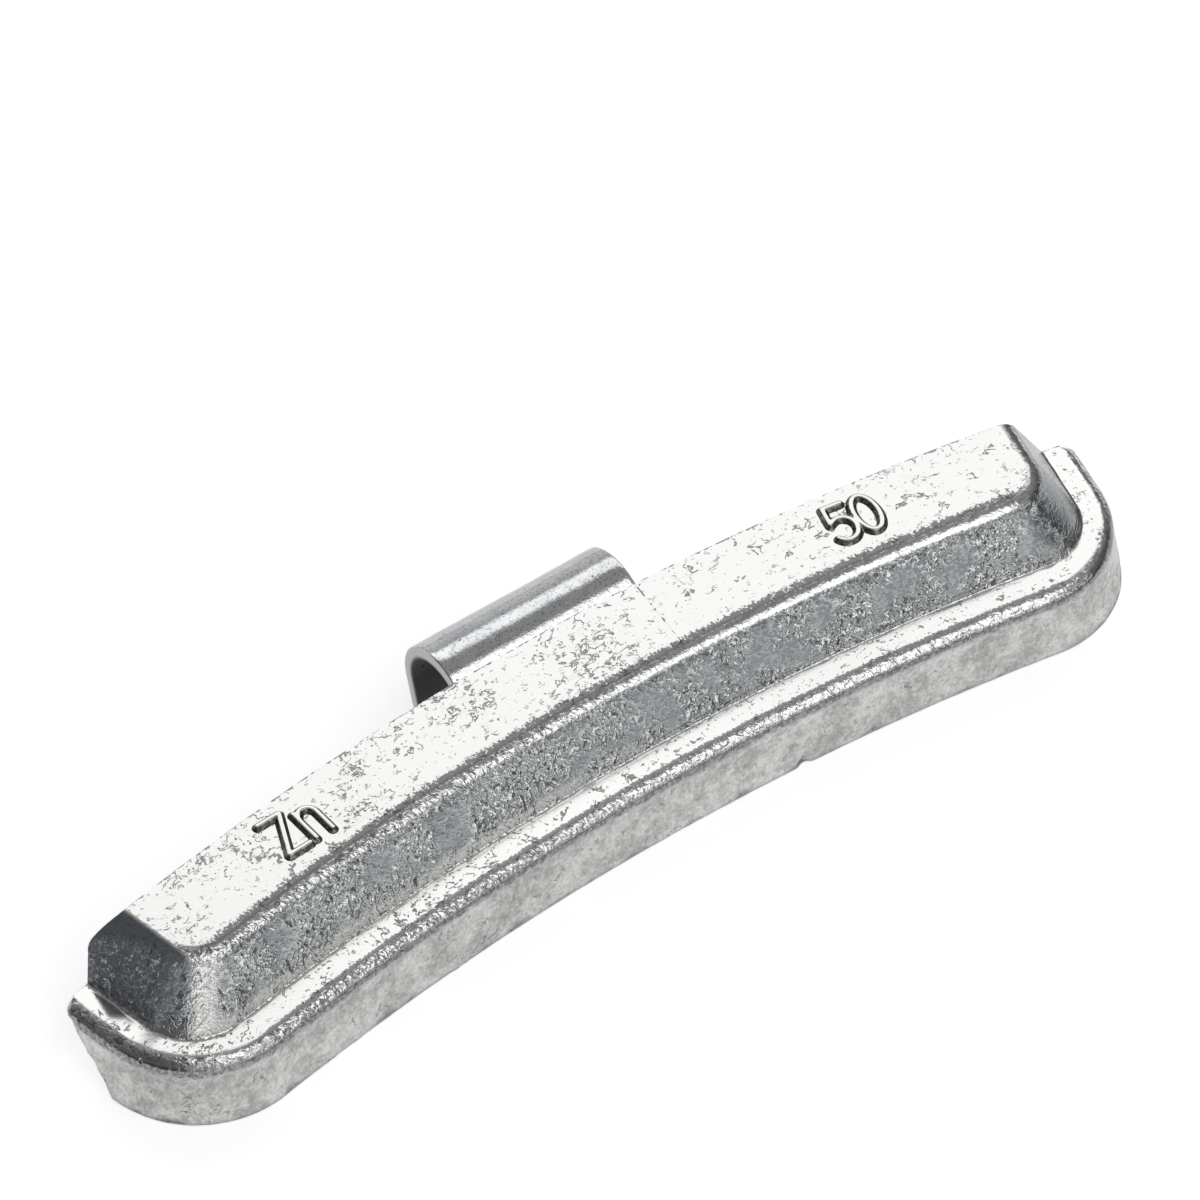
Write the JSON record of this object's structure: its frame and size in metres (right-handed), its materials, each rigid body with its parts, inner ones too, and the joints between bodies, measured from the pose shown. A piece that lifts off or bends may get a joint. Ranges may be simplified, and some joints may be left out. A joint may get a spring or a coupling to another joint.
{
  "type": "wheel balance weight",
  "caption": "Curved cast weight with a spring-steel clip in its outer edge, knocked onto the lip of a wheel rim to balance the wheel.",
  "frame": {"origin": "on the flat inboard face, at the middle of the casting's length, 3.5 mm outwards from the concave front edge of its shelf", "axes": "+X along the rim, +Y radially outwards from the wheel axis towards the clip, +Z out of the marked outboard face, parallel to the wheel axis"},
  "size_m": [0.0854, 0.022, 0.0103],
  "materials": {
    "cast_zinc": "bright as-cast zinc, flow marks and pits",
    "spring_steel": "satin, plated"
  },
  "bodies": {
    "root": {"zinc_casting": "cast_zinc", "rim_clip": "spring_steel"}
  },
  "joints": []
}
